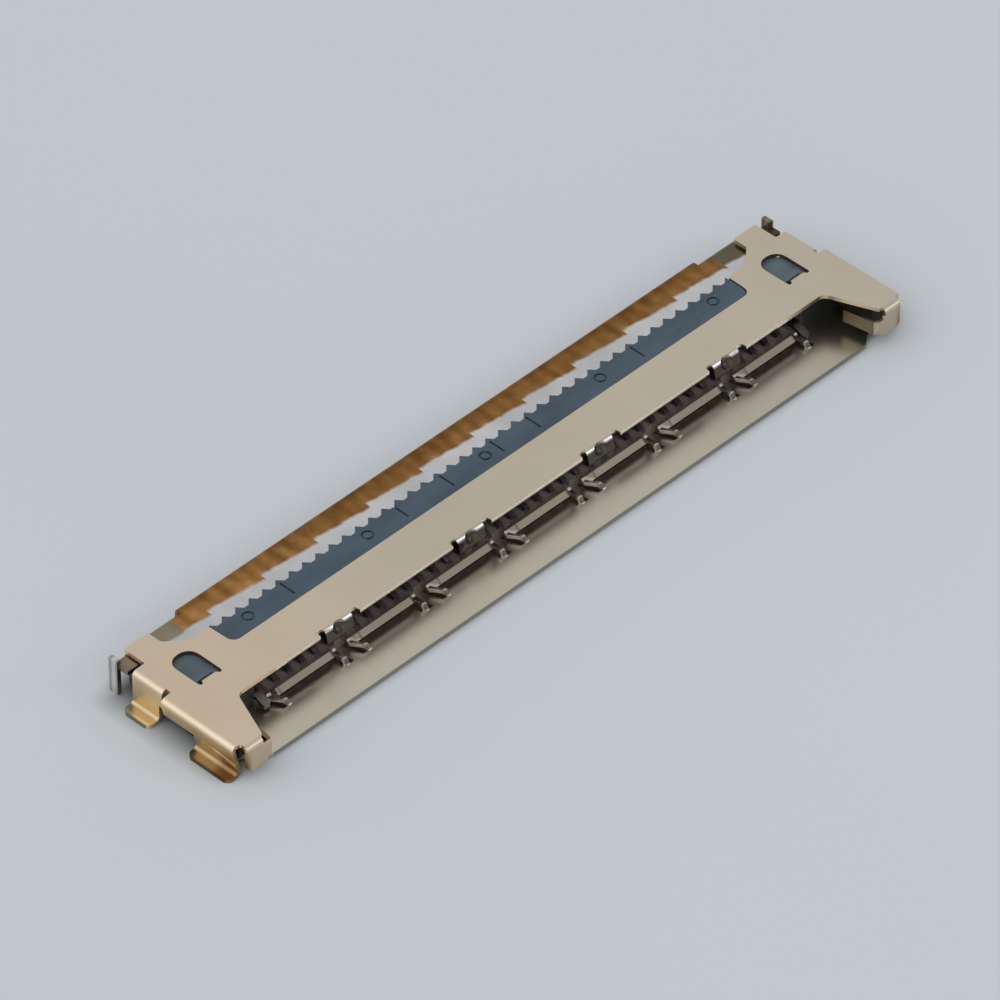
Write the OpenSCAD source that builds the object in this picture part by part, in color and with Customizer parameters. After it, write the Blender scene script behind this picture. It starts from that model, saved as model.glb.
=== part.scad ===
// Board receptacle of a micro coaxial connector, right angle, surface mounted
// X runs along the contact row, the mating slot faces -Y and the solder tails leave at +Y
// The origin lies on the board, under the centre of the outline

/* [Contact row] */
// Number of signal contacts
contact_count = 40; // [20:2:50]
// Spacing of the contacts
pitch = 0.5; // [0.46:0.01:0.6]

/* [Contact strip] */
// Thickness of the contact strip
contact_t = 0.1; // [0.06:0.01:0.12]
// Width of a contact in the housing and of its spring beam
beam_w = 0.16; // [0.12:0.01:0.22]
// Free gap between the wide shoulders of neighbouring contacts
shoulder_gap = 0.05; // [0.04:0.01:0.14]
// Drop of the shoulder's upper face below the shell's inner face
shoulder_drop = 0.08; // [0.05:0.01:0.14]
// Length of the shoulder behind the housing
shoulder_l = 1.22; // [1:0.01:1.4]
// Slope of the riser between shoulder and tail, in degrees
riser_angle = 82; // [60:1:85]
// Free gap between neighbouring solder tails
tail_gap = 0.22; // [0.1:0.01:0.28]
// Length of the flat solder tail
tail_l = 0.46; // [0.36:0.01:0.6]
// Height of the spring beam's root over the board
beam_z = 0.48; // [0.44:0.01:0.52]
// Free length of the spring beam in the mating slot
beam_l = 0.98; // [0.8:0.01:1.04]
// Rise of the spring beam's contact point over its root
beam_rise = 0.16; // [0.1:0.01:0.2]
// Width of a ground terminal's shoulder and tail
ground_w = 1.52; // [1.2:0.02:1.56]
// Width of a ground terminal's root in the housing
ground_root_w = 0.54; // [0.44:0.02:0.56]
// Width of the ground terminal's tongue at the end of the mating slot
tongue_w = 0.25; // [0.2:0.01:0.26]
// Length of the ground terminal's root in the housing
anchor_l = 0.5; // [0.4:0.01:0.56]

/* [Upper shell] */
// Height of the shell over the board
height = 1.2; // [1.14:0.01:1.4]
// Thickness of the shell sheet
shell_t = 0.12; // [0.08:0.01:0.14]
// Inner radius of the bends
bend_r = 0.05; // [0.03:0.01:0.08]
// Reach of the arms in front of the band
arm_reach = 1.71; // [1.51:0.02:1.91]
// Width of the band over the mating slot
band_w = 1.49; // [1.35:0.02:1.89]
// Depth of the rear window in front of its corner tips
window_d = 0.88; // [0.8:0.02:1]
// Reach of the rear ears behind those tips
ear_reach = 1.02; // [0.9:0.02:1.2]
// Length of the rear stretch of each side wall
rear_wall_l = 1.32; // [1.2:0.02:1.5]
// Distance from the last contact to the end of the mating slot
slot_end = 1.58; // [1.4:0.02:1.7]
// Distance from the last contact to the rear stretch of a side wall
rear_wall_reach = 2.93; // [2.8:0.01:3.1]
// Distance from the last contact to the front stretch of a side wall
front_wall_reach = 3.18; // [3.1:0.01:3.4]
// Reach of a solder foot outside the lower end of its side wall
foot_reach = 0.42; // [0.3:0.02:0.5]
// Inner radius of the bend above a solder foot
foot_bend = 0.12; // [0.05:0.01:0.16]

/* [Ground springs] */
// Spacing of the ground springs on the band's front edge
spring_pitch = 5; // [4:0.1:6]
// Width of a ground spring
spring_w = 1; // [0.8:0.02:1.3]
// Width of the relief cut on each side of a spring
spring_relief = 0.26; // [0.1:0.01:0.3]
// Radius of the round dimple in each spring
dimple_r = 0.26; // [0.2:0.01:0.3]

/* [Lower shell] */
// Gap between the lower shell and the board
board_gap = 0.05; // [0.03:0.01:0.08]
// Setback of the plate's front edge from the arm tips
plate_setback = 0.2; // [0.1:0.02:0.4]
// Spacing of the sprung ground loops
loop_pitch = 3; // [3:0.05:3.6]
// Length of a loop's raised bar
loop_l = 1.96; // [1.6:0.02:2.04]
// Width of a loop's bar
loop_w = 0.2; // [0.16:0.01:0.24]
// Rise of the bar over the plate
loop_rise = 0.38; // [0.2:0.01:0.4]
// Tilt of the bar towards the mating side, in degrees
loop_tilt = 40; // [20:1:50]
// Length of a loop's legs in front of the bar
leg_l = 0.5; // [0.4:0.02:0.7]
// Width of a loop's legs
leg_w = 0.12; // [0.1:0.01:0.16]

/* [Housing] */
// Land of the housing between the band and its rear face
rear_land = 0.79; // [0.7:0.01:0.86]
// Length of the pointed ribs between the contacts
rib_l = 0.17; // [0.12:0.01:0.3]
// Distance from the last contact to the end blocks
end_gap = 0.85; // [0.8:0.01:0.95]
// Depth of the solid rear block
block_d = 1.12; // [1:0.02:1.3]
// Depth of the housing floor in front of the block
floor_d = 1.02; // [0.9:0.02:1.1]
// Height of the floor's upper face over the board
floor_z = 0.38; // [0.34:0.01:0.4]
// Spacing of the round ejector marks
mark_pitch = 4.5; // [3:0.1:6]
// Radius of an ejector mark
mark_r = 0.19; // [0.12:0.01:0.24]

/* [Hold-downs] */
// Width of a hold-down leg
nail_w = 0.32; // [0.2:0.02:0.4]
// Thickness of the hold-down sheet
nail_t = 0.14; // [0.1:0.01:0.18]

/* [Hidden] */
$fn = 48;
// Clearance between pieces that fit into each other
fit = 0.01;
// Segments in one rounded corner of an outline
arc_steps = 6;
// Overlap that joins two stretches of one sheet
lap = 0.1;

// Half length from the middle of the row to its last contact
row_half = (contact_count - 1) * pitch / 2;
shoulder_w = pitch - shoulder_gap;
tail_w = pitch - tail_gap;
plate_z = board_gap + shell_t;
roof_z = height - shell_t;
housing_top = roof_z - 2 * fit;
shoulder_z = roof_z - shoulder_drop;
// The housing fills the rear window of the shell up to just below its outer face
land_top = height - 2 * fit;

// Depth of the whole part, from the arm tips to the ends of the tails
riser_run = (shoulder_z - contact_t) / tan(riser_angle);
depth = arm_reach + band_w + rear_land + shoulder_l + riser_run + tail_l;

// Stations along Y, from the front to the back
front_y = -depth / 2;
band_front = front_y + arm_reach;
window_front = band_front + band_w;
housing_back = window_front + rear_land;
tip_y = window_front + window_d;
ear_back = tip_y + ear_reach;
shoulder_back = housing_back + shoulder_l;
tail_front = shoulder_back + riser_run;
tail_back = depth / 2;
block_front = housing_back - block_d;
floor_front = block_front - floor_d;
plate_front = front_y + plate_setback;
plate_back = block_front + 0.7 * block_d;
anchor_front = housing_back - anchor_l;
// Jog of a contact inside the housing, from its beam up to its shoulder
jog_front = block_front + 0.2;
jog_back = block_front + 0.42;

// Stations along X, measured outwards from the last contact
window_x = row_half + 0.25;
ground_in = row_half + shoulder_w / 2 + shoulder_gap;
slot_x = row_half + slot_end;
ear_in = slot_x;
d_x = row_half + 1.63;
wall_back_x = row_half + rear_wall_reach;
wall_front_x = row_half + front_wall_reach;
arm_inset = 0.98;
arm_in = wall_front_x - arm_inset;
ear_inset = 0.47;
ear_out = wall_back_x - ear_inset;
block_in = row_half + end_gap;
block_out = wall_back_x - shell_t - 2 * fit;
plate_x = row_half + 1.74;
wing_x = block_out - 0.1;

// Bend radius on the middle of a sheet
shell_bend = bend_r + shell_t / 2;
contact_bend = bend_r + contact_t / 2;

// Side walls of the upper shell: two stretches with a step between them
wall_gap = 0.2;
wall_step_y = window_front - 0.22;
wall_back_y = wall_step_y + rear_wall_l;
wall_low = 0.62;
wall_lean = 0.25;
wall_front_y = front_y + 0.3;
foot_w = 1;
foot_r = 0.2;
front_foot_w = 1.56;
front_foot_y = wall_front_y;

// Front face of each arm, which hangs from a fold, and the guide leaf that turns back from it
face_in = arm_in - 0.15;
fold_in = arm_in + 0.1;
fold_out = arm_in + 0.68;
face_low = 0.26;
face_r = 0.28;
fold_y = front_y + shell_t / 2 + shell_bend;
notch_y = fold_y + 0.1;
leaf_low = 0.46;
leaf_top = 0.88;
leaf_back_x = slot_x + 0.24;
leaf_back_y = band_front - 0.6;

// Corner radii of the upper shell's outline
edge_r = 0.05;
slot_r = 0.3;
window_r = 0.26;

// Lanced window over each end block
d_w = 0.84;
d_l = 1.22;
d_y = window_front - 0.5;
d_r = 0.38;
d_relief = 0.07;
lance_w = 0.5;
lance_drop = 0.3;
lance_run = 0.04;

// Ground springs
spring_back = 0.19;
spring_run = 0.1;
spring_drop = 0.36;
dimple_d = 0.13;
dimple_place = 0.25;

// Ground loops of the lower shell: a raised bar on two legs that step up from the plate
loop_gap = 0.19;
loop_y = floor_front - loop_gap - loop_w / 2;
loop_slit = 0.04;
loop_step = 0.2;
plate_mid = board_gap + shell_t / 2;
plate_flare = 0.7;
loop_mid = plate_mid + loop_rise;
leg_mid = loop_mid - loop_step * cos(loop_tilt);
leg_back = loop_y + loop_step * sin(loop_tilt);
leg_x = loop_l / 2 + 0.24;
leg_front = loop_y - loop_w / 2 - leg_l;
leg_run = 0.16;
leg_skew = 11;
// A raised bar stands in front of the opening that it leaves in the plate
plate_tongue = loop_y + 0.3 * loop_w;
opening_back = plate_tongue + loop_w + loop_slit;

// Housing details
mark_w = 0.07;
mark_d = 0.04;
mark_y = window_front + 0.48;
vent_x = [-7.5, -3.2, -1.45, 0.5, 1.9, 6];
vent_w = 0.07;
vent_l = 0.56;
vent_d = 0.06;
comb_z = 0.14;
comb_gap = 0.05;
support_back = ear_back - 0.12;
support_in = ear_in + 0.3;
support_out = ear_out - 0.04;

// Hold-downs
nail_z = housing_top - nail_t - 0.04;
nail_in = support_out - 0.34;
nail_x = wall_back_x - 0.12;
nail_y = ear_back - 0.08;
nail_top = height - fit;
nail_bar = 0.5;

loop_count = floor(2 * row_half / loop_pitch + 0.6);
spring_count = floor(2 * row_half / spring_pitch + 0.5);
mark_count = 1 + floor(2 * row_half / mark_pitch);

function two_digits(n) = n < 10 ? str("0", n) : str(n);
function contact_name(n) = str("contact_", two_digits(n));
function contact_x(n) = (n - 1) * pitch - row_half;
// Places of a centred pattern
function centred(count, step) = [for (i = [0 : count - 1]) (i - (count - 1) / 2) * step];

// Outlines: a corner is [x, y, radius], and a corner without a radius stays sharp

function unit(v) = v / norm(v);
function flat(p) = [p[0], p[1]];
function corner(a, p, b) =
    let (
        r = len(p) > 2 ? p[2] : 0,
        q = flat(p),
        u = unit(flat(a) - q),
        w = unit(flat(b) - q),
        half = acos(u * w) / 2,
        from = q + u * r / tan(half),
        centre = q + unit(u + w) * r / sin(half),
        start = atan2(from[1] - centre[1], from[0] - centre[0]),
        sweep = (cross(u, w) < 0 ? 1 : -1) * (180 - 2 * half)
    )
    r == 0
        ? [q]
        : [for (i = [0 : arc_steps])
            centre + r * [cos(start + sweep * i / arc_steps), sin(start + sweep * i / arc_steps)]];

// Closed outline with rounded corners
function loop(points) =
    let (n = len(points))
    [for (i = [0 : n - 1]) each corner(points[(i + n - 1) % n], points[i], points[(i + 1) % n])];

// Open path with rounded corners
function path(points) =
    let (n = len(points))
    [for (i = [0 : n - 1])
        each (i == 0 || i == n - 1) ? [flat(points[i])] : corner(points[i - 1], points[i], points[i + 1])];

// Outline of a sheet of thickness t bent along an open path
function sheet(points, t) =
    let (
        c = path(points),
        n = len(c),
        dir = [for (i = [0 : n - 2]) unit(c[i + 1] - c[i])],
        side = [for (i = [0 : n - 1])
            let (
                a = dir[max(i - 1, 0)],
                b = dir[min(i, n - 2)],
                along = unit(a + b)
            )
            [-along[1], along[0]] * t / 2 / (along * a)]
    )
    concat([for (i = [0 : n - 1]) c[i] + side[i]], [for (i = [n - 1 : -1 : 0]) c[i] - side[i]]);

// Mirrors a half outline about the Y axis and joins both halves
function both_halves(points) =
    let (n = len(points))
    concat(points, [for (i = [n - 1 : -1 : 0]) [-points[i][0], points[i][1], points[i][2]]]);

// Extrudes a profile drawn in Y and Z along X
module along_x(from, to) {
    translate([from, 0, 0]) rotate([90, 0, 90]) linear_extrude(to - from) children();
}

// Extrudes a profile drawn in X and Z along Y
module along_y(from, to) {
    translate([0, to, 0]) rotate([90, 0, 0]) linear_extrude(to - from) children();
}

module block(from, to) {
    translate(from) cube(to - from);
}

module both_ends() {
    children();
    mirror([1, 0, 0]) children();
}

// Contacts

// Middle line of a contact in Y and Z, from the spring tip to the end of the tail
shoulder_mid = shoulder_z - contact_t / 2;
tail_mid = contact_t / 2;
beam_tip = block_front - beam_l;
beam_root = [block_front - 0.12, beam_z, 0.3];
jog_line = [
    [jog_front, beam_z, contact_bend],
    [jog_back, shoulder_mid, contact_bend],
];
beam_line = [
    [beam_tip, beam_z + 0.4 * beam_rise],
    [beam_tip + 0.22, beam_z + beam_rise, 0.12],
    beam_root,
];
tail_line = [
    [shoulder_back, shoulder_mid, contact_bend],
    [tail_front, tail_mid, contact_bend],
    [tail_back, tail_mid],
];

// The ground terminal's tongue dips in front of the housing floor and has a round tip
tongue_x = block_in - 2 * fit - tongue_w;
tongue_tip = floor_front - 0.4;
tongue_knee = floor_front + 0.1;
tongue_low = beam_z - 0.18;
tongue_line = [
    [tongue_tip, tongue_low],
    [tongue_knee, beam_z + 0.04, 0.25],
    beam_root,
];

// Half widths of a contact at its stations along Y
contact_plan = [
    [beam_w / 2, beam_tip - lap],
    [beam_w / 2, housing_back],
    [shoulder_w / 2, housing_back + rib_l],
    [shoulder_w / 2, tail_front],
    [tail_w / 2, tail_front + contact_bend],
    [tail_w / 2, tail_back + lap],
];

module contact(n) {
    color("goldenrod")
    translate([contact_x(n), 0, 0])
    intersection() {
        along_x(-shoulder_w / 2, shoulder_w / 2)
        polygon(sheet(concat(beam_line, jog_line, tail_line), contact_t));
        linear_extrude(height) polygon([for (p = both_halves(contact_plan)) flat(p)]);
    }
}

module ground_terminal() {
    color("darkkhaki")
    union() {
        intersection() {
            along_x(ground_in, ground_in + ground_w)
            polygon(sheet(concat([[anchor_front, shoulder_mid]], tail_line), contact_t));
            linear_extrude(height)
            polygon([
                [ground_in, anchor_front - lap],
                [ground_in + ground_root_w, anchor_front - lap],
                [ground_in + ground_root_w, tip_y + 2 * fit],
                [ground_in + ground_w, tip_y + 2 * fit],
                [ground_in + ground_w, tail_back + lap],
                [ground_in, tail_back + lap],
            ]);
        }
        intersection() {
            along_x(tongue_x, tongue_x + tongue_w)
            polygon(sheet(concat(tongue_line, jog_line, [[anchor_front + lap, shoulder_mid]]), contact_t));
            linear_extrude(height)
            polygon(loop([
                [tongue_x, tongue_tip, 0.4 * tongue_w],
                [tongue_x + tongue_w, tongue_tip, 0.4 * tongue_w],
                [tongue_x + tongue_w, housing_back, 0],
                [tongue_x, housing_back, 0],
            ]));
        }
    }
}

// Upper shell

// The plate ends where the bends of the side walls begin
plate_front_x = wall_front_x - shell_t / 2 - shell_bend;
plate_back_x = wall_back_x - shell_t / 2 - shell_bend;
plate_half = [
    [slot_x, band_front, slot_r],
    [arm_in, fold_y, 0],
    [fold_out, fold_y, 0],
    [fold_out, notch_y, edge_r],
    [plate_front_x, notch_y, 0],
    [plate_front_x, wall_step_y, 0],
    [plate_back_x, wall_step_y, edge_r],
    [plate_back_x, wall_back_y, 0],
    [ear_out, wall_back_y, edge_r],
    [ear_out, ear_back, edge_r],
    [ear_in, ear_back, edge_r],
    [ear_in, ear_back - 0.5, 2 * edge_r],
    [window_x + 0.72, tip_y, slot_r],
    [window_x + 0.03, tip_y, edge_r],
    [window_x, window_front, window_r],
];

// Lanced window: rounded at the back, with a relief in each front corner
module d_outline() {
    polygon(loop([
        [d_x - d_w / 2, d_y],
        [d_x + d_w / 2, d_y],
        [d_x + d_w / 2, d_y + d_l, d_r],
        [d_x - d_w / 2, d_y + d_l, d_r],
    ]));
    for (side = [-1, 1])
        translate([d_x + side * (d_w / 2 - d_relief), d_y]) circle(d_relief);
}

module spring_notches() {
    notch = spring_w / 2 + spring_relief;
    for (x = centred(spring_count, spring_pitch))
        translate([x, 0])
        polygon(loop([
            [-notch, band_front - lap],
            [notch, band_front - lap],
            [notch - edge_r, band_front + spring_back, edge_r],
            [edge_r - notch, band_front + spring_back, edge_r],
        ]));
}

module shell_plate() {
    translate([0, 0, roof_z])
    linear_extrude(shell_t)
    difference() {
        polygon(loop(both_halves(plate_half)));
        both_ends() d_outline();
        spring_notches();
    }
}

// Side wall that hangs from the plate down to a height and leans inwards on its way to the board
module side_wall(x, from, to, lean) {
    top = height - shell_t / 2;
    middle = x - shell_t / 2;
    along_y(from, to)
    polygon(sheet([
        [middle - shell_bend - lap, top],
        [middle, top, shell_bend],
        [middle - lean * (top - wall_low) / top, wall_low],
    ], shell_t));
}

// Lower stretch of a side wall that turns outwards into a rounded solder foot
module solder_foot(x, from, to, lean) {
    top = height - shell_t / 2;
    middle = x - shell_t / 2;
    high = wall_low + lap;
    wall_in = x - lean - 2 * shell_t;
    out = x - lean + foot_reach;
    intersection() {
        along_y(from, to)
        polygon(sheet([
            [middle - lean * (top - high) / top, high],
            [middle - lean * (top - shell_t / 2) / top, shell_t / 2, foot_bend + shell_t / 2],
            [out, shell_t / 2],
        ], shell_t));
        linear_extrude(height)
        polygon(loop([
            [wall_in, from],
            [out, from, foot_r],
            [out, to, foot_r],
            [wall_in, to],
        ]));
    }
}

// Front face of an arm, folded down, and the guide leaf that turns back from it
module arm_front() {
    middle = front_y + shell_t / 2;
    intersection() {
        along_x(face_in, fold_out)
        polygon(sheet([
            [fold_y + lap, height - shell_t / 2],
            [middle, height - shell_t / 2, shell_bend],
            [middle, face_low],
        ], shell_t));
        along_y(front_y - lap, front_y + arm_reach)
        polygon(loop([
            [face_in, leaf_low],
            [fold_in, face_low, edge_r],
            [fold_out, face_low, face_r],
            [fold_out, height + lap],
            [fold_in, height + lap],
            [fold_in, leaf_top, edge_r],
            [face_in, leaf_top],
        ]));
    }
    translate([0, 0, leaf_low])
    linear_extrude(leaf_top - leaf_low)
    polygon(sheet([
        [fold_in + lap, middle],
        [face_in - shell_t / 2, middle, shell_bend],
        [leaf_back_x, leaf_back_y],
    ], shell_t));
}

// Retention lance bent down from the front edge of the lanced window
module lance() {
    middle = height - shell_t / 2;
    along_x(d_x - lance_w / 2, d_x + lance_w / 2)
    polygon(sheet([
        [d_y - lap, middle],
        [d_y + shell_t / 2, middle, shell_bend],
        [d_y + shell_t / 2 + lance_run, middle - lance_drop],
    ], shell_t));
}

// Ground spring bent down from the band, with a round dimple pressed into it just below the bend
module ground_spring() {
    middle = height - shell_t / 2;
    bend_y = band_front + spring_back - shell_t / 2;
    slope = atan2(spring_drop, spring_run);
    place = [bend_y - dimple_place * spring_run, middle - dimple_place * spring_drop];
    outward = [-sin(slope), cos(slope)];
    ball = place + outward * (shell_t / 2 + dimple_r - dimple_d);
    difference() {
        union() {
            along_x(-spring_w / 2, spring_w / 2)
            polygon(sheet([
                [bend_y + shell_bend + lap, middle],
                [bend_y, middle, shell_bend],
                [bend_y - spring_run, middle - spring_drop],
            ], shell_t));
            intersection() {
                translate([0, ball[0], ball[1]]) sphere(dimple_r + shell_t);
                translate([0, place[0], place[1]])
                rotate([slope, 0, 0])
                translate([-spring_w / 2, -dimple_r, -2 * shell_t])
                cube([spring_w, 2 * dimple_r, 2 * shell_t]);
                block([-spring_w, front_y, 0], [spring_w, tail_back, middle]);
            }
        }
        translate([0, ball[0], ball[1]]) sphere(dimple_r);
    }
}

module upper_shell() {
    color("tan") {
        union() {
            shell_plate();
            both_ends() {
                side_wall(wall_back_x, wall_step_y + wall_gap, wall_back_y, 0);
                side_wall(wall_front_x, wall_front_y, wall_step_y, wall_lean);
                solder_foot(wall_back_x, wall_back_y - foot_w, wall_back_y, 0);
                solder_foot(wall_front_x, front_foot_y, front_foot_y + front_foot_w, wall_lean);
                arm_front();
                lance();
            }
            for (x = centred(spring_count, spring_pitch))
                translate([x, 0, 0]) ground_spring();
        }
    }
}

// Lower shell

// Rectangle about the Y axis, between two stations along Y
module strip(half, from, to) {
    translate([-half, from]) square([2 * half, to - from]);
}

// Opening around a loop, with the tongue of the plate between its legs
module loop_opening() {
    edge = leg_w / 2 + loop_slit;
    inset = (leg_back - leg_front) * sin(leg_skew);
    difference() {
        strip(leg_x + edge, leg_front, opening_back);
        polygon([
            [inset + edge - leg_x, leg_front - lap],
            [leg_x - edge - inset, leg_front - lap],
            [leg_x - edge, plate_tongue],
            [edge - leg_x, plate_tongue],
        ]);
    }
}

// Raised bar, tilted towards the mating side, with a steep step down at both ends
module loop_bar() {
    step_x = leg_x - leg_w / 2 - 0.03;
    end_x = leg_x + leg_w / 2;
    translate([0, loop_y, loop_mid])
    rotate([loop_tilt, 0, 0])
    along_y(-loop_w / 2, loop_w / 2)
    polygon(sheet([
        [-end_x, -loop_step],
        [-step_x, -loop_step, shell_bend],
        [-loop_l / 2, 0, shell_bend],
        [loop_l / 2, 0, shell_bend],
        [step_x, -loop_step, shell_bend],
        [end_x, -loop_step],
    ], shell_t));
}

// Leg that steps up from the plate and spreads towards the end of the bar
module loop_leg() {
    translate([leg_x, leg_back, 0])
    rotate([0, 0, -leg_skew])
    translate([0, -leg_back, 0])
    along_x(-leg_w / 2, leg_w / 2)
    polygon(sheet([
        [leg_front - lap, plate_mid],
        [leg_front, plate_mid, shell_bend],
        [leg_front + leg_run, leg_mid, shell_bend],
        [leg_back, leg_mid],
    ], shell_t));
}

module lower_shell() {
    color("darkkhaki") {
        union() {
            translate([0, 0, board_gap])
            linear_extrude(shell_t)
            difference() {
                polygon(loop(both_halves([
                    [plate_x, plate_front, edge_r],
                    [wing_x, plate_front + plate_flare, 2 * edge_r],
                    [wing_x, plate_back, 2 * edge_r],
                ])));
                for (x = centred(loop_count, loop_pitch))
                    translate([x, 0]) loop_opening();
            }
            for (x = centred(loop_count, loop_pitch))
                translate([x, 0, 0]) {
                    loop_bar();
                    both_ends() loop_leg();
                }
        }
    }
}

// Housing

module housing_body() {
    // Rear block that carries the contacts, with its sill behind the lower shell
    block([-block_in - lap, block_front, plate_z], [block_in + lap, housing_back, housing_top]);
    block([-block_in, plate_back + 2 * fit, board_gap], [block_in, housing_back, plate_z + lap]);
    // Floor of the mating slot
    block([-block_in - lap, floor_front, plate_z], [block_in + lap, block_front + lap, floor_z]);
    both_ends() {
        // End block under the shell's corner, up to the tip beside the rear window
        block([block_in, floor_front, plate_z], [block_out, tip_y, housing_top]);
        block([block_in - lap, plate_back + 2 * fit, board_gap], [block_out, tip_y, plate_z + lap]);
        // Nose of the end block under the arm
        block(
            [arm_in + lap / 2, notch_y + 2 * lap, leaf_low],
            [plate_front_x - wall_lean, floor_front + lap, housing_top]
        );
        // Support under the ear, which holds the hold-down
        block([support_in, tip_y - lap, board_gap], [support_out, support_back, housing_top]);
    }
    contact_ribs();
    floor_comb();
    // Land that fills the rear window
    translate([0, 0, housing_top - lap])
    linear_extrude(land_top - housing_top + lap)
    polygon(loop(both_halves([
        [window_x - 2 * fit, window_front + 2 * fit, window_r],
        [window_x - 2 * fit, housing_back, 0],
    ])));
}

// Pointed ribs between the shoulders of the contacts
module contact_ribs() {
    base = (pitch - beam_w) / 2 - fit;
    tip = shoulder_gap / 2 - fit;
    for (n = [1 : contact_count + 1])
        translate([contact_x(n) - pitch / 2, housing_back, beam_z])
        linear_extrude(land_top - beam_z)
        polygon([[-base, -lap], [base, -lap], [base, 0], [tip, rib_l], [-tip, rib_l], [-base, 0]]);
}

// Low ribs that part the spring beams on the floor
module floor_comb() {
    half = (pitch - beam_w) / 2 - comb_gap;
    for (n = [1 : contact_count + 1])
        translate([contact_x(n) - pitch / 2, 0, 0])
        block([-half, floor_front, floor_z - lap], [half, block_front + lap, floor_z + comb_z]);
}

// Channel of one contact through the rear block, up to a station behind its jog
module contact_channel(half, back) {
    middle = concat([[block_front - lap, beam_z]], jog_line, [[back, shoulder_mid]]);
    along_x(-half - fit, half + fit) polygon(sheet(middle, contact_t + 2 * fit));
}

// Pocket for the root of a ground terminal, and the channel of its tongue
module ground_channel() {
    block(
        [ground_in - fit, anchor_front - fit, shoulder_z - contact_t - fit],
        [ground_in + ground_root_w + fit, tip_y + lap, shoulder_z + fit]
    );
    translate([tongue_x + tongue_w / 2, 0, 0]) contact_channel(tongue_w / 2, anchor_front + lap);
}

// Ejector mark: a shallow ring
module ejector_mark() {
    difference() {
        cylinder(h = 2 * mark_d, r = mark_r, center = true);
        cylinder(h = 3 * mark_d, r = mark_r - mark_w, center = true);
    }
}

module housing_cuts() {
    for (n = [1 : contact_count])
        translate([contact_x(n), 0, 0]) contact_channel(beam_w / 2, housing_back + rib_l + lap);
    both_ends() {
        ground_channel();
        // Room for the shell beside its rear window
        block([window_x - 2 * fit, window_front, housing_top], [block_in, tip_y + lap, height]);
        // Pocket for the retention lance
        block(
            [d_x - lance_w / 2 - 2 * fit, d_y - shell_t, roof_z - lance_drop - lap],
            [d_x + lance_w / 2 + 2 * fit, d_y + 1.4 * shell_t + lance_run, height]
        );
        // Slot for the hold-down's bar
        block(
            [nail_in - fit, nail_y - nail_bar - fit, nail_z - fit],
            [support_out + lap, nail_y + lap, nail_z + nail_t + fit]
        );
    }
    for (x = centred(mark_count, mark_pitch))
        translate([x, mark_y, land_top]) ejector_mark();
    for (x = vent_x)
        if (abs(x) < row_half)
            block(
                [x - vent_w / 2, housing_back - vent_l, land_top - vent_d],
                [x + vent_w / 2, housing_back + fit, land_top + lap]
            );
}

module housing() {
    color("darkslategray")
    difference() {
        housing_body();
        housing_cuts();
    }
}

// Hold-down: an upright leg outside the housing and a bar that enters the ear support
module hold_down() {
    color("burlywood")
    union() {
        block([nail_x, nail_y - nail_w / 2, 0], [nail_x + nail_t, nail_y + nail_w / 2, nail_top]);
        block([nail_in, nail_y - nail_bar, nail_z], [nail_x + nail_t / 2, nail_y, nail_z + nail_t]);
    }
}

housing();
upper_shell();
lower_shell();
mirror([1, 0, 0]) hold_down();  // left_hold_down
hold_down();  // right_hold_down
mirror([1, 0, 0]) ground_terminal();  // left_ground_terminal
ground_terminal();  // right_ground_terminal
for (n = [1 : contact_count])
    contact(n);
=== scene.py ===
import math

import bpy
from mathutils import Matrix, Vector


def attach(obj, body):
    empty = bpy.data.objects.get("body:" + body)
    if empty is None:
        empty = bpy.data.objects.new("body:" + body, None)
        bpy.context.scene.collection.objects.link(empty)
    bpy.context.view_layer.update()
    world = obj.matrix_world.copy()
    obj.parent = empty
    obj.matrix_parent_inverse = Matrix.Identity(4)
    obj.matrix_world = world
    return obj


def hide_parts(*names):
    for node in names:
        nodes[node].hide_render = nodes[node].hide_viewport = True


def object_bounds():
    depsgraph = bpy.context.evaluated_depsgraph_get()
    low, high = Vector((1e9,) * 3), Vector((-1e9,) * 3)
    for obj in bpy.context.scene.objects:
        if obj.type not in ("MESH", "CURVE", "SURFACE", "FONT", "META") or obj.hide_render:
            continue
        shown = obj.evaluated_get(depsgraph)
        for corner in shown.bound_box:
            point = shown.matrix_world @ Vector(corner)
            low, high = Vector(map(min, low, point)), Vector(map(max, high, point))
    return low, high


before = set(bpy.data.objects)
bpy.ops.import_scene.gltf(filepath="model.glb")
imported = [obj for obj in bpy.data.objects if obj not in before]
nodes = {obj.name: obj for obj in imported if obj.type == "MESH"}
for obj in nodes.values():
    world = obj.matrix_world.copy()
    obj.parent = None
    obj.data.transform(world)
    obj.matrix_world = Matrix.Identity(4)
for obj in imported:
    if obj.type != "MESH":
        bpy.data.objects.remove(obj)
cad_low, cad_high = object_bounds()
MM = 0.001

# Driving dimensions in millimetres: the CAD box and the contact row
HALF_LENGTH = cad_high[0] / MM
FRONT = cad_low[1] / MM
REAR = cad_high[1] / MM
HEIGHT = cad_high[2] / MM
PITCH = 0.5
ROW_HALF = PITCH * sum(name.startswith("contact") for name in nodes) / 2

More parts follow.
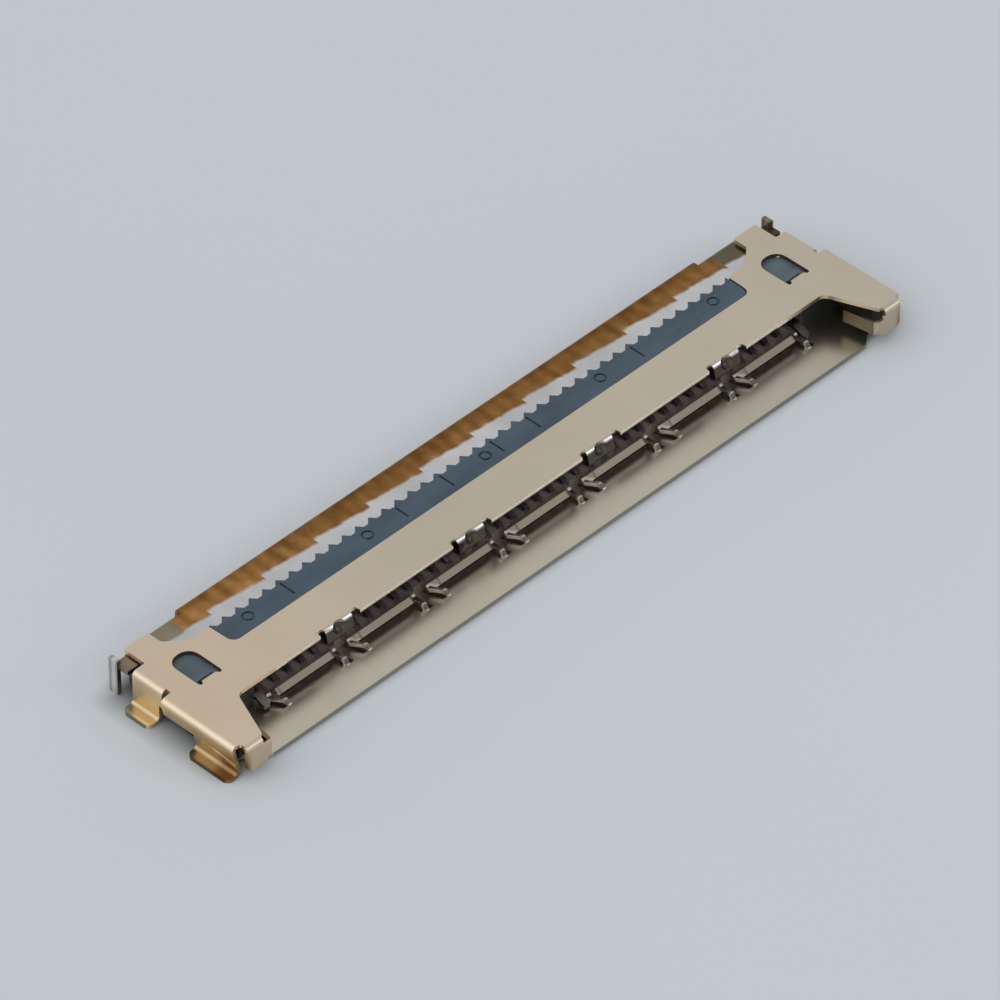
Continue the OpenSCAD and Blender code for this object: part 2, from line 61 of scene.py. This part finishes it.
# Stations along Y, from the front edge of the rear window
WINDOW_FRONT = FRONT + 3.2
POST_HIGHLIGHT_Y = (WINDOW_FRONT + 1.728, WINDOW_FRONT + 1.868)
POST_Y = WINDOW_FRONT + 1.655
GOLD_Y = WINDOW_FRONT + 1.46
LANCE_Y = (WINDOW_FRONT - 0.622, WINDOW_FRONT + 0.768)
SLOT_Y = WINDOW_FRONT - 0.15
RIBS_Y = WINDOW_FRONT - 1.3
REAR_FEET_Y = WINDOW_FRONT - 1.3
BAND_FRONT = WINDOW_FRONT - 1.49
LEG_TOP = WINDOW_FRONT - 1.75
LEG_FOOT = WINDOW_FRONT - 2.25
TOES_END = WINDOW_FRONT - 2.35
PLATE_FRONT = WINDOW_FRONT - 3.0
FACE_Y = WINDOW_FRONT - 3.05

# Stations along X, from the middle to both ends
SPRINGS_END = ROW_HALF - 0.5
BAND_END = ROW_HALF - 0.1
CONTACTS_END = ROW_HALF + 0.02
TERMINALS_X = ROW_HALF + 0.45
SLOT_END = ROW_HALF + 0.6
LANCE_X = (HALF_LENGTH - 2.2, HALF_LENGTH - 1.24)
LEAF_X = HALF_LENGTH - 0.8
WALL_X = HALF_LENGTH - 0.56
POST_X = HALF_LENGTH - 0.543
FOOT_RIM_X = HALF_LENGTH - 0.11
FOOT_CUT_X = HALF_LENGTH - 0.025

# Heights that part one form from the next
FEET_TOP = 0.15
PLATE_TOP = 0.19
LEGS_TOP = 0.42
BARS_BOTTOM = 0.44
FEET_FADE = HEIGHT - 0.4
LEAVES_TOP = HEIGHT - 0.25
BLOCKS_TOP = HEIGHT - 0.2
WALLS_TOP = HEIGHT - 0.18
FACES_TOP = HEIGHT - 0.15
SHEET_BOTTOM = HEIGHT - 0.14
SPRINGS_TOP = HEIGHT - 0.09

# Places along X where the light in the photograph changes a tint
WARM_SHELL = (-13, -4)
LEFT_GOLD = -6.5
RIGHT_GOLD = -5.5
RIGHT_PLATE = 6
RIGHT_TIPS = 8.8

# Leads between two steps of the gold's border
STEP_LEADS = 4

# Direction of the grain in sheet and wire, as a stretch of the noise
ROLLED = (0.6, 6, 6)
DRAWN = (4, 0.8, 4)

# Shifts of the pieces that replace their CAD nodes
LEAD_HALF = 0.21
LEAD_WIDER = 0.0245
LEAD_LONGER = 0.17
SHOULDER_Z = HEIGHT - 0.4
BEND_Y = (WINDOW_FRONT + 1.6, WINDOW_FRONT + 2.4)
LEG_SHIFT = Vector((0.20, 0.27, 0))

# Edge rounding, with the widths in millimetres
FINE_EDGE = 0.01
FOLDED_EDGE = 0.04
EDGE_ANGLE = math.radians(28)
WELD_DISTANCE = 0.0001

# Floor and softbox, in metres and watts
FLOOR_SIZE = 0.6
STRIP_HEADING = (0.535, -0.70, 0.47)
STRIP_SIZE = (0.10, 0.08)
STRIP_DISTANCE = 0.35
STRIP_POWER = 0.09

# Camera, as fitted to the photograph, in millimetres from the window's front edge
CAMERA_TURN = math.radians(45.66)
CAMERA_RISE = math.radians(41.62)
CAMERA_ROLL = math.radians(-0.056)
CAMERA_DISTANCE = 244.228
CAMERA_RIGHT = 0.057
CAMERA_UP = -0.097
FOCAL_LENGTH = 324
SENSOR_WIDTH = 36


# Shader helpers

def new_material(name, metallic=0.0):
    material = bpy.data.materials.new(name)
    material.use_nodes = True
    tree = material.node_tree
    shader = tree.nodes["Principled BSDF"]
    shader.inputs["Metallic"].default_value = metallic
    return material, tree, shader


def position(tree):
    return tree.nodes.new("ShaderNodeNewGeometry").outputs["Position"]


def noise(tree, scale, stretch=(1, 1, 1), detail=3.0):
    """Noise over the part, with scale in features per millimetre."""
    mapping = tree.nodes.new("ShaderNodeMapping")
    mapping.inputs["Scale"].default_value = [scale * s / MM for s in stretch]
    tree.links.new(position(tree), mapping.inputs["Vector"])
    made = tree.nodes.new("ShaderNodeTexNoise")
    made.inputs["Scale"].default_value = 1.0
    made.inputs["Detail"].default_value = detail
    tree.links.new(mapping.outputs["Vector"], made.inputs["Vector"])
    return made.outputs["Fac"]


def ramp(tree, factor, dark, light):
    """Colour from dark to light over the middle of a noise."""
    made = tree.nodes.new("ShaderNodeValToRGB")
    for element, place, colour in zip(made.color_ramp.elements, (0.3, 0.7), (dark, light)):
        element.position = place
        element.color = (*colour, 1)
    tree.links.new(factor, made.inputs["Fac"])
    return made.outputs["Color"]


def spread(tree, factor, low, high, start=0.3, end=0.7):
    """Value that goes from low to high while the factor goes from start to end."""
    made = tree.nodes.new("ShaderNodeMapRange")
    for key, value in (("From Min", start), ("From Max", end), ("To Min", low), ("To Max", high)):
        made.inputs[key].default_value = value
    tree.links.new(factor, made.inputs["Value"])
    return made.outputs["Result"]


def math_node(tree, operation, first, second=None):
    """Result of an operation on numbers or sockets."""
    made = tree.nodes.new("ShaderNodeMath")
    made.operation = operation
    for socket, value in zip(made.inputs, (first, second)):
        if isinstance(value, (int, float)):
            socket.default_value = value
        elif value is not None:
            tree.links.new(value, socket)
    return made.outputs["Value"]


def total(tree, first, *others):
    """Sum of the given values."""
    for other in others:
        first = math_node(tree, "ADD", first, other)
    return first


def where(tree, first, *others):
    """Mask that is 1 where all the given masks are."""
    for other in others:
        first = math_node(tree, "MULTIPLY", first, other)
    return first


def above(tree, value, edge, soft=0.02):
    """Mask that is 1 above an edge, with a soft border."""
    return spread(tree, value, 0.0, 1.0, edge - soft, edge + soft)


def below(tree, value, edge, soft=0.02):
    """Mask that is 1 below an edge, with a soft border."""
    return spread(tree, value, 1.0, 0.0, edge - soft, edge + soft)


def between(tree, value, low, high, soft=0.02):
    """Mask that is 1 between two edges, with soft borders."""
    return where(tree, above(tree, value, low, soft), below(tree, value, high, soft))


def place_on(tree, axis):
    """Position along one axis in millimetres."""
    made = tree.nodes.new("ShaderNodeSeparateXYZ")
    tree.links.new(position(tree), made.inputs["Vector"])
    return math_node(tree, "DIVIDE", made.outputs[axis], MM)


def facing(tree, axis):
    """How far the surface faces along one axis, from -1 to 1."""
    made = tree.nodes.new("ShaderNodeSeparateXYZ")
    normal = tree.nodes.new("ShaderNodeNewGeometry").outputs["Normal"]
    tree.links.new(normal, made.inputs["Vector"])
    return made.outputs[axis]


def mix(tree, factor, first, second):
    """First colour where the factor is 0 and second colour where it is 1."""
    made = tree.nodes.new("ShaderNodeMix")
    made.data_type = "RGBA"
    tree.links.new(factor, made.inputs["Factor"])
    tree.links.new(first, made.inputs["A"])
    tree.links.new(second, made.inputs["B"])
    return made.outputs["Result"]


def shade(tree, factor, colour, tint):
    """Multiplies a colour by a tint where the factor is 1."""
    made = tree.nodes.new("ShaderNodeMix")
    made.data_type = "RGBA"
    made.blend_type = "MULTIPLY"
    tree.links.new(factor, made.inputs["Factor"])
    tree.links.new(colour, made.inputs["A"])
    made.inputs["B"].default_value = (*tint, 1)
    return made.outputs["Result"]


def tones(tree, scale, dark, light):
    """Cloudy colour between two tones."""
    return ramp(tree, noise(tree, scale), dark, light)


def bump(tree, shader, height, distance):
    made = tree.nodes.new("ShaderNodeBump")
    made.inputs["Distance"].default_value = distance * MM
    tree.links.new(height, made.inputs["Height"])
    tree.links.new(made.outputs["Normal"], shader.inputs["Normal"])


def surface(tree, shader, colour, rough, grain, depth):
    """Colour, uneven roughness and a fine bump along the grain."""
    tree.links.new(colour, shader.inputs["Base Color"])
    lines = noise(tree, 5, stretch=grain)
    tree.links.new(spread(tree, lines, rough - 0.02, rough + 0.02), shader.inputs["Roughness"])
    bump(tree, shader, noise(tree, 9, stretch=grain), depth)


# Materials

def shell_plating():
    """Pale gold sheet, brighter and warmer at the left end as painted light, with a stronger gold on the
    feet and low walls, painted shade on the feet's fronts, the front faces, springs, leaves and window
    walls, and painted highlights on the band's rim and the rear feet's rims.
    """
    material, tree, shader = new_material("shell_plating", metallic=1.0)
    x = place_on(tree, "X")
    y = place_on(tree, "Y")
    z = place_on(tree, "Z")
    out = math_node(tree, "ABSOLUTE", x)
    # Brighter, warmer tone towards the left end: painted light
    warm = tones(tree, 0.35, (0.87, 0.69, 0.50), (0.92, 0.74, 0.55))
    pale = tones(tree, 0.35, (0.735, 0.64, 0.50), (0.785, 0.685, 0.54))
    body = mix(tree, spread(tree, x, 0.0, 1.0, *WARM_SHELL), warm, pale)

    # Feet: painted shade towards the front and a painted reflection of shade at the front end, a painted
    # highlight on the outer rim of the rear feet, and painted shade on the outward cut edge
    gold = tones(tree, 1.1, (0.62, 0.47, 0.25), (0.80, 0.62, 0.37))
    # Painted shade towards the front, with a painted reflection of shade near the front end
    gold = shade(tree, below(tree, y, BAND_FRONT + 0.4, 0.3), gold, (0.74, 0.71, 0.68))
    gold = shade(tree, below(tree, y, FACE_Y + 0.75, 0.12), gold, (0.66, 0.56, 0.46))
    # Painted highlight on the outer rim of the rear feet
    painted_foot_highlight = where(
        tree, above(tree, out, FOOT_RIM_X, 0.04), above(tree, y, REAR_FEET_Y), below(tree, z, 2 * FEET_TOP),
    )
    gold = mix(tree, painted_foot_highlight, gold, tones(tree, 1.1, (0.88, 0.75, 0.52), (0.96, 0.85, 0.63)))
    # Painted shade on the feet's outward cut edge
    shaded_cut_edge = where(tree, above(tree, out, FOOT_CUT_X, 0.01), below(tree, z, FEET_TOP))
    gold = shade(tree, shaded_cut_edge, gold, (0.36, 0.34, 0.30))
    outside = above(tree, out, WALL_X, 0.08)
    feet = where(tree, below(tree, z, FEET_FADE, 0.36), outside)
    walls = where(tree, below(tree, z, WALLS_TOP, 0.05), outside)
    plated = mix(tree, feet, shade(tree, walls, body, (1.0, 0.90, 0.68)), gold)

    # Band's front: painted shade on the springs below a painted highlight along the rim
    # Painted shade on the springs' faces
    springs = where(
        tree, below(tree, z, SPRINGS_TOP, 0.03), below(tree, out, SPRINGS_END),
        between(tree, y, BAND_FRONT - 0.2, BAND_FRONT + 0.3),
    )
    plated = shade(tree, springs, plated, (0.12, 0.125, 0.12))
    # Painted highlight on the band's front rim
    rim = where(
        tree, below(tree, facing(tree, "Y"), -0.5, 0.1), above(tree, z, SHEET_BOTTOM),
        below(tree, out, BAND_END), below(tree, y, BAND_FRONT + 0.6),
    )
    plated = shade(tree, rim, plated, (1.3, 1.45, 1.75))

    # Arms: front faces and leaves darkened with painted shade
    faces = where(tree, below(tree, y, FACE_Y, 0.03), below(tree, z, FACES_TOP, 0.05))
    plated = shade(tree, faces, plated, (0.80, 0.76, 0.74))
    # Painted shade on the leaves beneath the arms
    leaves = where(
        tree, below(tree, out, LEAF_X), below(tree, z, LEAVES_TOP),
        between(tree, y, FACE_Y - 0.04, BAND_FRONT - 0.4),
    )
    plated = shade(tree, leaves, plated, (0.29, 0.27, 0.25))

    # Cut walls of the lanced windows, darkened with painted shade
    window = where(tree, between(tree, out, *LANCE_X), between(tree, y, *LANCE_Y))
    cut = where(tree, window, below(tree, facing(tree, "Z"), 0.5, 0.1), above(tree, z, SHEET_BOTTOM))
    plated = shade(tree, cut, plated, (0.30, 0.24, 0.20))
    surface(tree, shader, plated, 0.33, ROLLED, 0.0005)
    return material


def plate_plating():
    """Pale plate with painted shade towards the right end, on the legs, bars and feet of the loops, on the
    undersides and on the front cut edge.
    """
    material, tree, shader = new_material("plate_plating", metallic=1.0)
    y = place_on(tree, "Y")
    z = place_on(tree, "Z")
    under_bars = below(tree, z, LEGS_TOP, 0.04)
    colour = tones(tree, 0.3, (0.73, 0.66, 0.53), (0.78, 0.71, 0.58))
    # Painted shade towards the right end
    colour = shade(tree, above(tree, place_on(tree, "X"), RIGHT_PLATE, 3), colour, (0.90, 0.90, 0.91))
    # Painted shade on the loops' legs
    legs = where(tree, above(tree, z, PLATE_TOP + 0.02), under_bars)
    colour = shade(tree, legs, colour, (0.52, 0.54, 0.58))
    # Painted shade on the bars
    colour = shade(tree, above(tree, z, BARS_BOTTOM, 0.04), colour, (0.36, 0.35, 0.34))
    # Painted shade on the front cut edge, which faces shaded paper
    colour = shade(tree, below(tree, y, PLATE_FRONT + 0.008, 0.01), colour, (0.42, 0.44, 0.47))
    # Painted shade on the feet of the loops' legs
    toes = where(
        tree, below(tree, y, LEG_FOOT + LEG_SHIFT.y + 0.06), above(tree, z, PLATE_TOP, 0.01), under_bars,
    )
    colour = shade(tree, toes, colour, (0.50, 0.50, 0.53))
    # Painted shade on the undersides, cooler in tint
    underside = where(tree, below(tree, facing(tree, "Z"), -0.5, 0.1), above(tree, z, PLATE_TOP + 0.01))
    colour = shade(tree, underside, colour, (0.55, 0.62, 0.78))
    surface(tree, shader, colour, 0.30, ROLLED, 0.0003)
    return material


def hold_down_plating():
    """Light post with a painted highlight strip, painted shade on the faces towards -Y and over the whole
    right hold-down, on a neck of gold darkened to brown with painted shade.
    """
    material, tree, shader = new_material("hold_down_plating", metallic=1.0)
    x = place_on(tree, "X")
    y = place_on(tree, "Y")
    out = math_node(tree, "ABSOLUTE", x)
    post = where(tree, above(tree, out, POST_X, 0.004), above(tree, y, POST_Y, 0.004))
    # Painted highlight strip down the post
    strip = where(tree, post, between(tree, y, *POST_HIGHLIGHT_Y, 0.03))
    # Neck: gold darkened to brown with painted shade
    neck = tones(tree, 2.0, (0.22, 0.16, 0.11), (0.34, 0.26, 0.19))
    colour = mix(tree, post, neck, tones(tree, 2.0, (0.42, 0.40, 0.37), (0.56, 0.53, 0.49)))
    colour = shade(tree, strip, colour, (1.65, 1.65, 1.65))
    # Painted shade on the faces towards -Y
    colour = shade(tree, below(tree, facing(tree, "Y"), -0.5, 0.1), colour, (0.45, 0.41, 0.36))
    # Painted shade over the right hold-down
    colour = shade(tree, above(tree, x, 0), colour, (0.42, 0.39, 0.32))
    surface(tree, shader, colour, 0.36, ROLLED, 0.001)
    return material


def lead_plating():
    """Nickel shoulders, dark gold behind a border that steps every few leads, brown ground terminals and
    tips in the slot; painted light makes the gold lighter near the border and at the left and darker at the
    rear and at the right, and painted shade darkens the terminals and the tips.
    """
    material, tree, shader = new_material("lead_plating", metallic=1.0)
    x = place_on(tree, "X")
    y = place_on(tree, "Y")
    beyond = above(tree, math_node(tree, "ABSOLUTE", x), TERMINALS_X, 0.1)

    # Striped gold, with painted light: lighter near the border and at the left end, darker at the rear and
    # at the right end
    wave = math_node(tree, "SINE", math_node(tree, "MULTIPLY", x, 2 * math.pi / PITCH))
    uneven = spread(tree, noise(tree, 3.2, stretch=(1, 0.3, 1)), -1.6, 1.6)
    stripes = spread(tree, total(tree, wave, uneven), 0.0, 1.0, -2, 2)
    gold = mix(
        tree, stripes,
        tones(tree, 2.2, (0.20, 0.090, 0.022), (0.32, 0.150, 0.038)),
        tones(tree, 2.2, (0.30, 0.150, 0.042), (0.46, 0.250, 0.085)),
    )
    # Painted shade towards the right end and painted light at the left end
    gold = shade(tree, above(tree, x, RIGHT_GOLD, 1.5), gold, (0.90, 0.84, 0.70))
    gold = shade(tree, below(tree, x, LEFT_GOLD, 1.5), gold, (1.22, 1.16, 1.10))
    # Painted light near the border and painted shade along the rear bend
    gold = shade(tree, below(tree, y, GOLD_Y + 0.3, 0.2), gold, (1.25, 1.32, 1.50))
    gold = shade(tree, above(tree, y, GOLD_Y + 0.58, 0.12), gold, (0.78, 0.72, 0.62))

    # Ground terminals brown with painted shade, darker still at the right end, nickel shoulders, and tips
    # in the slot darkened with painted shade
    brown = tones(tree, 1.6, (0.26, 0.22, 0.15), (0.40, 0.33, 0.24))
    # Painted shade on the terminals at the right end
    brown = shade(tree, above(tree, x, 0), brown, (0.52, 0.52, 0.46))
    nickel = tones(tree, 0.9, (0.68, 0.67, 0.66), (0.84, 0.83, 0.83))
    # Tips in the slot: gold darkened with painted shade
    shaded_tips = tones(tree, 2.0, (0.20, 0.160, 0.150), (0.28, 0.230, 0.215))
    # More painted shade on the tips at the right end
    shaded_tips = shade(tree, above(tree, x, RIGHT_TIPS, 0.8), shaded_tips, (0.50, 0.55, 0.55))

    # Ragged, stepped border
    ragged = spread(tree, noise(tree, 2.6, stretch=(1, 0.2, 1)), -0.04, 0.04)
    group = math_node(tree, "DIVIDE", math_node(tree, "SUBTRACT", x, PITCH), STEP_LEADS * PITCH)
    steps = spread(tree, math_node(tree, "FRACT", group), -0.09, 0.09, 0, 1)
    outward = math_node(tree, "MULTIPLY", beyond, 0.12)
    behind = above(tree, total(tree, y, ragged, steps, outward), GOLD_Y, 0.05)
    rear = mix(tree, behind, nickel, mix(tree, beyond, gold, brown))
    slot = below(tree, y, SLOT_Y, 0.25)
    surface(tree, shader, mix(tree, slot, rear, shaded_tips), 0.36, DRAWN, 0.0006)
    return material


def housing_plastic():
    """Dark filled plastic with flow marks, brighter end blocks, painted brownish bounce light inside the
    slot, and painted shade on the ribs behind the bars and on the end blocks' fronts.
    """
    material, tree, shader = new_material("housing_plastic")
    y = place_on(tree, "Y")
    z = place_on(tree, "Z")
    out = math_node(tree, "ABSOLUTE", place_on(tree, "X"))
    flow = noise(tree, 0.9, stretch=(0.6, 1.6, 1), detail=5)
    colour = ramp(tree, flow, (0.047, 0.076, 0.106), (0.076, 0.117, 0.156))
    blocks = above(tree, out, SLOT_END, 0.05)
    colour = shade(tree, where(tree, blocks, above(tree, z, BLOCKS_TOP)), colour, (1.85, 1.6, 1.4))
    # Painted brownish bounce light inside the slot
    inside = where(tree, below(tree, y, SLOT_Y - 0.15, 0.1), below(tree, out, SLOT_END, 0.05))
    colour = shade(tree, inside, colour, (4.8, 2.5, 1.8))
    # Painted shade on the ribs right behind the bars
    ribs = where(tree, inside, below(tree, y, RIBS_Y, 0.06))
    colour = shade(tree, ribs, colour, (0.60, 0.60, 0.48))
    # Painted shade on the end blocks' fronts beneath the arms
    block_fronts = where(tree, blocks, below(tree, y, SLOT_Y - 0.6, 0.1))
    colour = shade(tree, block_fronts, colour, (0.26, 0.16, 0.10))
    tree.links.new(colour, shader.inputs["Base Color"])
    tree.links.new(spread(tree, noise(tree, 6), 0.42, 0.58), shader.inputs["Roughness"])
    bump(tree, shader, noise(tree, 14), 0.002)
    return material


def paper():
    """Pale paper with a painted shadow beneath the part that reaches a little past its ends."""
    material, tree, shader = new_material("paper")
    along = math_node(tree, "ABSOLUTE", place_on(tree, "X"))
    across = math_node(tree, "ABSOLUTE", place_on(tree, "Y"))
    # Painted shadow beneath the part, soft at its borders
    under = where(tree, below(tree, along, HALF_LENGTH - 0.3, 0.7), below(tree, across, REAR - 0.6, 0.3))
    tone = tones(tree, 0.02, (0.765, 0.800, 0.830), (0.785, 0.820, 0.850))
    tree.links.new(shade(tree, under, tone, (0.14, 0.12, 0.10)), shader.inputs["Base Color"])
    tree.links.new(spread(tree, noise(tree, 3), 0.85, 0.95), shader.inputs["Roughness"])
    shader.inputs["Specular IOR Level"].default_value = 0.1
    return material


lead = lead_plating()
hold_down = hold_down_plating()
finish_of = {
    "housing": housing_plastic(),
    "upper_shell": shell_plating(),
    "lower_shell": plate_plating(),
    "left_hold_down": hold_down,
    "right_hold_down": hold_down,
}
for name, node in nodes.items():
    node.data.materials.clear()
    node.data.materials.append(finish_of.get(name, lead))


# Rounded edges, and pieces that replace CAD nodes whose shape in the photograph is slightly different

def soften(piece, width, segments=2):
    """Rounds the edges of a piece by a width in millimetres."""
    weld = piece.modifiers.new("weld", "WELD")
    weld.merge_threshold = WELD_DISTANCE * MM
    bevel = piece.modifiers.new("bevel", "BEVEL")
    bevel.width = width * MM
    bevel.segments = segments
    bevel.limit_method = "ANGLE"
    bevel.angle_limit = EDGE_ANGLE
    bevel.harden_normals = segments > 1


def fuller_lead(point):
    """Shift that makes a lead's shoulder nearly as wide as the pitch and puts its bend further back."""
    across = point.x % PITCH - PITCH / 2
    shift = Vector()
    if point.z > SHOULDER_Z and abs(across) > LEAD_HALF:
        shift.x = math.copysign(LEAD_WIDER, across)
    if abs(point.x) < CONTACTS_END and BEND_Y[0] < point.y <= BEND_Y[1]:
        shift.y = LEAD_LONGER
    return shift


def steeper_leg(point):
    """Shift that draws the foot of a loop's leg back, so that the leg stands steeper."""
    if abs(point.x) >= SLOT_END or point.y <= TOES_END:
        return Vector()
    share = (LEG_TOP - point.y) / (LEG_TOP - LEG_FOOT)
    return LEG_SHIFT * min(max(share, 0.0), 1.0)


def redrawn(name, shift):
    """A piece that stands for a CAD node, with the shift added to each of its points."""
    piece = bpy.data.objects.new(name + "_drawn", nodes[name].data.copy())
    bpy.context.scene.collection.objects.link(piece)
    for vertex in piece.data.vertices:
        vertex.co += shift(vertex.co / MM) * MM
    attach(piece, "root")
    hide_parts(name)
    return piece


for name in nodes:
    if name.startswith("contact"):
        redrawn(name, fuller_lead)
    elif name.endswith("terminal"):
        redrawn(name, fuller_lead)
    elif name == "lower_shell":
        soften(redrawn(name, steeper_leg), FINE_EDGE)
    elif name == "upper_shell":
        soften(nodes[name], FOLDED_EDGE, segments=1)
    else:
        soften(nodes[name], FINE_EDGE)


# Floor, sky and softbox

bpy.ops.mesh.primitive_plane_add(size=FLOOR_SIZE, location=(0, 0, 0))
floor = bpy.context.object
floor.name = "paper"
floor.data.materials.append(paper())


def studio_sky():
    """Sky that is dim in front, brighter behind and brightest on the left."""
    world = bpy.data.worlds.new("studio")
    world.use_nodes = True
    tree = world.node_tree
    sky = tree.nodes["Background"]
    sky.inputs["Color"].default_value = (0.96, 0.98, 1.0, 1)
    heading = tree.nodes.new("ShaderNodeSeparateXYZ")
    direction = tree.nodes.new("ShaderNodeTexCoord").outputs["Generated"]
    tree.links.new(direction, heading.inputs["Vector"])
    behind = spread(tree, heading.outputs["Y"], low=0.36, high=0.60, start=-0.7, end=0.5)
    left = spread(tree, heading.outputs["X"], low=0.5, high=0.0, start=-0.6, end=0.2)
    tree.links.new(total(tree, behind, left), sky.inputs["Strength"])
    return world


def softbox(name, heading, size, distance, power):
    """Rectangular lamp that points at the part."""
    data = bpy.data.lights.new(name, "AREA")
    data.shape = "RECTANGLE"
    data.size, data.size_y = size
    data.energy = power
    light = bpy.data.objects.new(name, data)
    bpy.context.scene.collection.objects.link(light)
    light.location = Vector(heading).normalized() * distance
    light.rotation_euler = Vector(heading).to_track_quat("Z", "Y").to_euler()


bpy.context.scene.world = studio_sky()
softbox("strip", STRIP_HEADING, STRIP_SIZE, STRIP_DISTANCE, STRIP_POWER)


# Camera

def fitted_camera():
    """Camera that shows the part as the photograph does."""
    back = Vector((
        -math.sin(CAMERA_TURN) * math.cos(CAMERA_RISE),
        -math.cos(CAMERA_TURN) * math.cos(CAMERA_RISE),
        math.sin(CAMERA_RISE),
    ))
    level = Vector((0, 0, 1)).cross(back).normalized()
    steep = back.cross(level)
    right = level * math.cos(CAMERA_ROLL) + steep * math.sin(CAMERA_ROLL)
    up = steep * math.cos(CAMERA_ROLL) - level * math.sin(CAMERA_ROLL)
    target = Vector((0, WINDOW_FRONT, 0))
    place = (target + back * CAMERA_DISTANCE + right * CAMERA_RIGHT + up * CAMERA_UP) * MM
    data = bpy.data.cameras.new("camera")
    data.sensor_width = SENSOR_WIDTH
    data.lens = FOCAL_LENGTH
    data.clip_start = 0.01
    data.clip_end = 10
    camera = bpy.data.objects.new("camera", data)
    camera.matrix_world = Matrix((
        (right.x, up.x, back.x, place.x),
        (right.y, up.y, back.y, place.y),
        (right.z, up.z, back.z, place.z),
        (0, 0, 0, 1),
    ))
    bpy.context.scene.collection.objects.link(camera)
    return camera


bpy.context.scene.camera = fitted_camera()
bpy.context.scene.view_settings.view_transform = "Standard"
